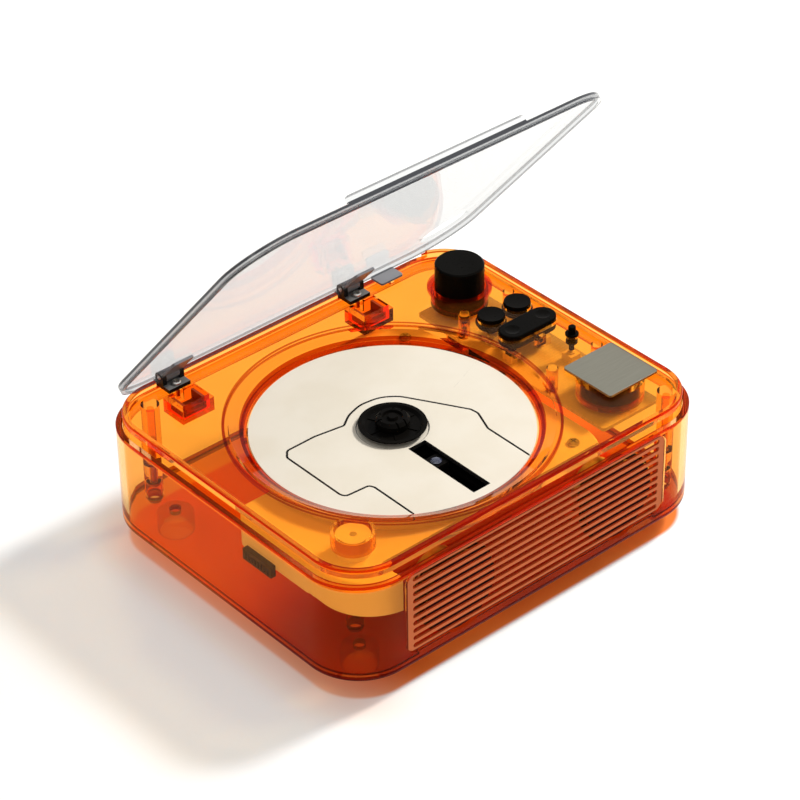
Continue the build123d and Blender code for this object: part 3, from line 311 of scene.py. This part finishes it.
def tub_painted_glow(m):
    """Painted glow: light painted in the lip, and on the tub's bottom where no chassis hangs over it."""
    x, y, z = m.split(m.position())
    open_side = y.ramp(-0.030, 0.025) * (1 - x.ramp(-0.02, 0.03))
    bottom = (z < tub_bottom_top) * (z > base_z + 0.002)
    glow = m.blend(bottom * open_side, painted_faint_glow, (0.34, 0.25, 0.0))
    return m.blend(z > lip_z - 0.003, glow, painted_rim_glow)


def grille_zones(m, paint):
    """Painted shade: dark red inside the slots and on the very edge of the frame."""
    nx, ny, nz = m.split(m.normal())
    x, y, z = m.split(m.position())
    low, high = grille_low, grille_high
    side_edge = (x - (low[0] + high[0]) / 2).absolute() > (high[0] - low[0]) / 2 - grille_frame_edge
    level_edge = (z - (low[2] + high[2]) / 2).absolute() > (high[2] - low[2]) / 2 - grille_frame_edge
    paint = m.blend(side_edge.maximum(level_edge), paint, (0.22, 0.02, 0.005))
    return m.blend(nz.absolute() > 0.6, paint, (0.62, 0.10, 0.03))


def chassis_painted_glow(m):
    """Painted glow: warm light from the orange plastic painted over the chassis, and none on the open disc plate.
    """
    x, y, z = m.split(m.position())
    covered = square_of_distance(x, y, (well_x, well_y)) > covered_radius**2
    return m.blend(covered, (0.0, 0.0, 0.0), (1.0, 0.60, 0.34))


def plate_gap_shade(m):
    """Painted shade, in black: the upright cut faces in the round plate, the gap round the cover and the laser's
    slot.
    """
    x, y, z = m.split(m.position())
    nx, ny, nz = m.split(m.normal())
    inside = square_of_distance(x, y, (well_x, well_y)) < plate_radius**2
    upright = nz.absolute() < 0.5
    rounded = m.node("ShaderNodeBevel", {"samples": 6}, {"Radius": 0.00045})
    bx, by, bz = m.split(rounded)
    beside = bz < 0.985
    return upright.maximum(beside) * (z > plate_top - plate_thickness) * inside


def bracket_shaded_sides(m):
    """All of a hinge bracket but the faces that look up: painted black as shade, while the faces that look up keep
    a lit grey.
    """
    nx, ny, nz = m.split(m.normal())
    return nz < 0.5


# ---- materials ----
def tinted_plastic(name, tint, shade, zones, level=None, glow=None, body=0.01, roughness=0.03, ior=1.2):
    """Clear tinted plastic: refracts, has a faint painted glow, and lets the shade of lamp light through."""
    m = material_shader(name)
    flow = m.noise(28.0, 2.0)
    deeper = tuple(channel * 0.94 for channel in tint)
    paint = zones(m, m.blend(flow.ramp(0.3, 0.7), tint, deeper))
    if level:
        paint = painted_edge_line(m, paint, level)
    glass = m.surface(
        Base_Color=paint,
        Roughness=roughness,
        IOR=ior,
        Transmission_Weight=1.0 - body,
        Specular_IOR_Level=0.25,
        Specular_Tint=(1.0, 0.42, 0.14, 1.0),
        # Painted glow: the given glow mask, else a faint orange glow painted all over.
        Emission_Color=glow(m) if glow else (1.0, 0.13, 0.0, 1.0),
        Emission_Strength=0.20 if glow else 0.006,
        Normal=m.bump(m.noise(90.0, 2.0), 0.00002, 0.3),
    )
    return m.done(m.let_lamps_through(glass, shade))


def satin_plastic(name, base, second, roughness, gloss=0.5, black_faces=None, glow=None):
    """Moulded plastic with a fine eroded grain and slight colour drift."""
    m = material_shader(name)
    drift = m.noise(35.0, 3.0)
    fine = m.noise(900.0, 2.0, 0.6)
    paint = m.blend(drift.ramp(0.35, 0.65), base, second)
    # Painted shade: the faces the mask picks are painted near black.
    if black_faces:
        paint = m.blend(black_faces(m), paint, painted_shade_black)
    body = m.surface(
        Base_Color=paint,
        Roughness=roughness + (fine - 0.5) * 0.18,
        Specular_IOR_Level=gloss,
        # Painted glow, where one is given.
        Emission_Color=glow(m) if glow else (0.0, 0.0, 0.0, 1.0),
        Emission_Strength=0.07 if glow else 0.0,
        Normal=m.bump(fine, 0.00002, 0.6),
    )
    return m.done(body)


def metal(name, base, second, roughness, stretch=(1.0, 1.0, 1.0), scale=500.0):
    """Metal with fine lines; `stretch` draws them out to a brushed surface."""
    m = material_shader(name)
    lines = m.noise(scale, 3.0, 0.6, stretch)
    body = m.surface(
        Base_Color=m.blend(lines.ramp(0.3, 0.7), base, second),
        Metallic=1.0,
        Roughness=roughness + (lines - 0.5) * 0.12,
        Normal=m.bump(lines, 0.00001, 0.5),
    )
    return m.done(body)


def board_finish():
    """White solder mask over faint tracks."""
    m = material_shader("solder_mask")
    weave = m.noise(260.0, 2.0)
    tracks = m.node(
        "ShaderNodeTexBrick",
        None,
        {
            "Vector": m.position(),
            "Color1": rgb(232, 226, 208),
            "Color2": rgb(226, 218, 198),
            "Mortar": rgb(222, 214, 192),
            "Scale": 160.0,
            "Mortar Size": 0.03,
        },
    )
    return m.done(m.surface(Base_Color=tracks, Roughness=0.35 + (weave - 0.5) * 0.1))


def lid_plastic():
    """Clear pane: it mirrors the player at a grazing look, and its edges are painted dark as shade."""
    m = material_shader("clear_lid")
    x, y, z = m.split(m.position())
    along = (hinge_y - y) * cos(lid_angle) + (z - hinge_z) * sin(lid_angle)
    level = (y - hinge_y) * sin(lid_angle) + (z - hinge_z) * cos(lid_angle)
    nx, ny, nz = m.split(m.normal())
    out = (ny * sin(lid_angle) + nz * cos(lid_angle)).absolute()
    opening = square_of_distance(x, along, (knob_x, hinge_y - knob_y)) < lid_opening_radius**2
    # Painted shade: the upright edges are painted dark grey, more on the left and front edges, in two lines along
    # the pane's rim and round the tab.
    upright = (1 - out.ramp(0.35, 0.8)) * (1 - opening * 0.8)

    top = lid_top_level
    line = band(level, top - 0.0013, top + 0.0002).maximum(band(level, top - 0.0036, top - 0.0031))
    left_or_front = (1 - x.ramp(-0.096, -0.080)).maximum(along.ramp(0.146, 0.156))
    tab = level > top + 0.0003
    tab_outline = band(level, top + 0.0024, top + 0.0032)
    pane_edge = 0.12 + left_or_front * 0.40 + line * (0.44 + left_or_front * 0.10)
    tab_edge = 0.04 + tab_outline * 0.4
    painted_edge_shade = upright * pane_edge * (1 - tab) + upright * tab * tab_edge

    body = m.surface(
        Base_Color=m.blend(upright, rgb(224, 222, 216), rgb(58, 60, 66)),
        Metallic=(1 - upright) * 0.45,
        Roughness=0.03,
        IOR=1.49,
        Normal=m.bump(m.noise(60.0, 2.0), 0.00002, 0.15),
    )
    graze = m.node("ShaderNodeLayerWeight", None, {"Blend": 0.5}, output="Facing")
    amount = (0.03 + graze * graze * graze * 0.26).maximum(painted_edge_shade)
    pane = m.mix(amount, m.clear(rgb(245, 246, 247)), body)
    return m.done(m.let_lamps_through(pane, rgb(250, 250, 250)))


def lens_glass():
    """Coated glass of the laser's lens."""
    m = material_shader("lens_glass")
    glass = m.surface(
        Base_Color=rgb(170, 180, 235), Roughness=0.02, IOR=1.5, Transmission_Weight=0.9, Coat_Weight=0.4
    )
    return m.done(glass)


def foot_rubber():
    """Soft orange rubber that lets some light through."""
    m = material_shader("foot_rubber")
    fine = m.noise(700.0, 2.0)
    body = m.surface(
        Base_Color=m.blend(fine.ramp(0.3, 0.7), rgb(222, 112, 34), rgb(208, 98, 26)),
        Roughness=0.55,
        Specular_IOR_Level=0.2,
        Normal=m.bump(fine, 0.00003, 0.5),
    )
    return m.done(m.mix(0.93, body, m.clear((0.92, 0.70, 0.48, 1.0))))


def paper_cone():
    """Fibrous paper of the loudspeaker cones."""
    m = material_shader("cone_paper")
    fibre = m.noise(1200.0, 4.0, 0.7)
    body = m.surface(
        Base_Color=m.blend(fibre.ramp(0.3, 0.7), rgb(38, 33, 30), rgb(58, 50, 44)),
        Roughness=0.75,
        Normal=m.bump(fibre, 0.00008, 0.8),
    )
    return m.done(body)


# Levels of the painted dark red edge lines on the lip and the rim.
lip_level = (lip_z - 0.0011, lip_z + 0.001)
rim_level = (rim_z - 0.0007, rim_z + 0.001)
tub_shade = (0.42, 0.46, 0.50, 1.0)
deck_shade = (0.95, 0.80, 0.50, 1.0)
cream = (rgb(236, 228, 212), rgb(232, 223, 205))
steel_lines = (1.0, 22.0, 1.0)
finishes = {
    "clear_orange": tinted_plastic(
        "clear_orange", (1.0, 0.64, 0.26), tub_shade, tub_zones, lip_level, tub_painted_glow, ior=1.11
    ),
    "grille_orange": tinted_plastic(
        "grille_orange", (1.0, 0.26, 0.09), tub_shade, grille_zones, body=0.75, roughness=0.12
    ),
    "black_plastic": satin_plastic("black_plastic", rgb(11, 10, 8), rgb(15, 13, 11), 0.30, gloss=0.02),
    "driver_paper": paper_cone(),
    "magnet_steel": metal("plated_steel", rgb(206, 204, 198), rgb(186, 184, 178), 0.32),
    "cream_plastic": satin_plastic("cream_plastic", *cream, 0.48, black_faces=plate_gap_shade),
    "grey_plastic": satin_plastic("grey_plastic", rgb(62, 58, 54), rgb(50, 47, 44), 0.45, gloss=0.3),
    "grey_satin": satin_plastic("grey_satin", rgb(138, 138, 142), rgb(126, 126, 130), 0.35, gloss=0.4),
    "soft_rubber": satin_plastic("soft_rubber", rgb(226, 186, 140), rgb(216, 172, 124), 0.6),
    "foot_rubber": foot_rubber(),
    "board_white": board_finish(),
    "brass": metal("brass", rgb(214, 178, 96), rgb(200, 164, 84), 0.28),
    "satin_steel": metal("satin_steel", rgb(143, 140, 127), rgb(138, 135, 122), 0.36, steel_lines, 120.0),
    "clear_plastic": lid_plastic(),
    "lens_glass": lens_glass(),
}
own_finishes = {
    "upper_deck": tinted_plastic(
        "deck_orange", (1.0, 0.57, 0.12), deck_shade, deck_zones, rim_level, deck_painted_glow, ior=1.15
    ),
    "driver_scrims": satin_plastic("scrim_cloth", rgb(42, 8, 8), rgb(32, 6, 6), 0.7, gloss=0.1),
    "housing_screws": metal("screw_zinc", rgb(238, 232, 220), rgb(226, 218, 204), 0.30),
    "deck_chassis": satin_plastic("chassis_plastic", *cream, 0.48, black_faces=plate_gap_shade, glow=chassis_painted_glow),
    "hinge_clips": satin_plastic("clip_plastic", rgb(176, 62, 18), rgb(160, 54, 14), 0.4, gloss=0.2),
    # Painted light: grey, lit-looking upper faces over black shaded sides.
    "hinge_brackets": satin_plastic(
        "bracket_plastic", rgb(120, 118, 116), rgb(108, 106, 104), 0.38, gloss=0.2, black_faces=bracket_shaded_sides
    ),
}

slots = {entry["node"]: entry["material_slot"] for entry in frame["record"]["subparts"]}
for name, piece in nodes.items():
    piece.data.materials.clear()
    piece.data.materials.append(own_finishes.get(name) or finishes[slots[name]])


# ---- studio ----
def make_floor():
    """Pale floor with a painted orange shadow under the housing and a painted warm shadow tint right beside it."""
    half = 3.0
    corners = [(-half, -half, 0), (half, -half, 0), (half, half, 0), (-half, half, 0)]
    mesh = bpy.data.meshes.new("floor")
    mesh.from_pydata(corners, [], [(0, 1, 2, 3)])
    floor = bpy.data.objects.new("floor", mesh)
    bpy.context.scene.collection.objects.link(floor)

    m = material_shader("pale_floor")
    x, y, z = m.split(m.position())
    corner_radius = 0.026
    past_x = (x.absolute() - (tub_high[0] - corner_radius)).maximum(0)
    past_y = (y.absolute() - (tub_high[1] - corner_radius)).maximum(0)
    away = (past_x * past_x + past_y * past_y).root() - corner_radius
    # Painted shadow: orange under the housing, deeper away from its left side, and a warm tint beside it on the
    # left.
    left = 1 - x.ramp(-0.100, -0.060)
    under = 1 - away.ramp(-0.0035, -0.0012)
    beside = (1 - away.ramp(-0.002, 0.022)) * left * 0.45
    paint = m.blend(beside, rgb(233, 233, 231), rgb(232, 176, 136))
    paint = m.blend(under, paint, m.blend(left, rgb(240, 132, 62), rgb(238, 190, 158)))
    glow = m.blend(beside, rgb(255, 255, 254), rgb(244, 190, 156))
    glow = m.blend(under, glow, m.blend(left, rgb(200, 96, 34), rgb(226, 164, 128)))
    matt = {
        "Base_Color": paint,
        "Roughness": 0.88 + (m.noise(400.0, 2.0) - 0.5) * 0.04,
        "Specular_IOR_Level": 0.2,
    }
    lit = m.surface(**matt)
    lifted = m.surface(**matt, Emission_Color=glow, Emission_Strength=0.29)
    mesh.materials.append(m.done(m.mix(m.sees_background(), lit, lifted)))


def make_world():
    """Plain soft light, and a white background for whatever shows it."""
    world = bpy.data.worlds.new("studio")
    bpy.context.scene.world = world
    m = Shader(world, "ShaderNodeOutputWorld")
    ambient = m.node("ShaderNodeBackground", None, {"Color": (1.0, 0.99, 0.98, 1.0), "Strength": 0.33})
    white = m.node("ShaderNodeBackground", None, {"Color": (1.0, 1.0, 0.995, 1.0), "Strength": 1.0})
    m.done(m.mix(m.sees_background(), ambient, white))


def make_lamp(name, towards, distance, size, power, tint, glints=True):
    """An area lamp that stands in the direction `towards` and shines at the player."""
    lamp = bpy.data.lights.new(name, "AREA")
    lamp.shape = "DISK"
    lamp.size = size
    lamp.energy = power
    lamp.color = tint
    holder = bpy.data.objects.new(name, lamp)
    direction = Vector(towards).normalized()
    holder.location = direction * distance + Vector((0.0, 0.0, 0.05))
    holder.rotation_euler = direction.to_track_quat("Z", "Y").to_euler()
    holder.visible_transmission = False
    holder.visible_glossy = glints
    bpy.context.scene.collection.objects.link(holder)


make_floor()
make_world()
key_side = (1.06, -0.16, 1.0)
warm_white = (1.0, 0.98, 0.95)
make_lamp("key", key_side, 1.6, 0.28, 23.0, warm_white, glints=False)
make_lamp("glint", key_side, 1.6, 0.16, 3.0, warm_white)
make_lamp("soft_top", (-0.3, -0.4, 1.6), 1.5, 1.4, 3.5, (1.0, 1.0, 1.0))


# ---- camera ----
def make_camera():
    """Looks down at the player from its left front corner."""
    azimuth, elevation, roll = radians(-40.8), radians(35.5), radians(-0.8)
    distance = 1.301
    target = Vector((0.0207, 0.0260, 0.0396))
    back = Vector((sin(azimuth) * cos(elevation), -cos(azimuth) * cos(elevation), sin(elevation)))
    right = Vector((cos(azimuth), sin(azimuth), 0.0))
    up = back.cross(right)
    rolled_right = right * cos(roll) + up * sin(roll)
    rolled_up = up * cos(roll) - right * sin(roll)
    data = bpy.data.cameras.new("camera")
    data.sensor_width = 36.0
    data.lens = 135.17
    data.clip_end = 20.0
    camera = bpy.data.objects.new("camera", data)
    bpy.context.scene.collection.objects.link(camera)
    turn = Matrix((rolled_right, rolled_up, back)).transposed().to_4x4()
    camera.matrix_world = Matrix.Translation(target + back * distance) @ turn
    bpy.context.scene.camera = camera


make_camera()
bpy.context.scene.view_settings.view_transform = "Standard"
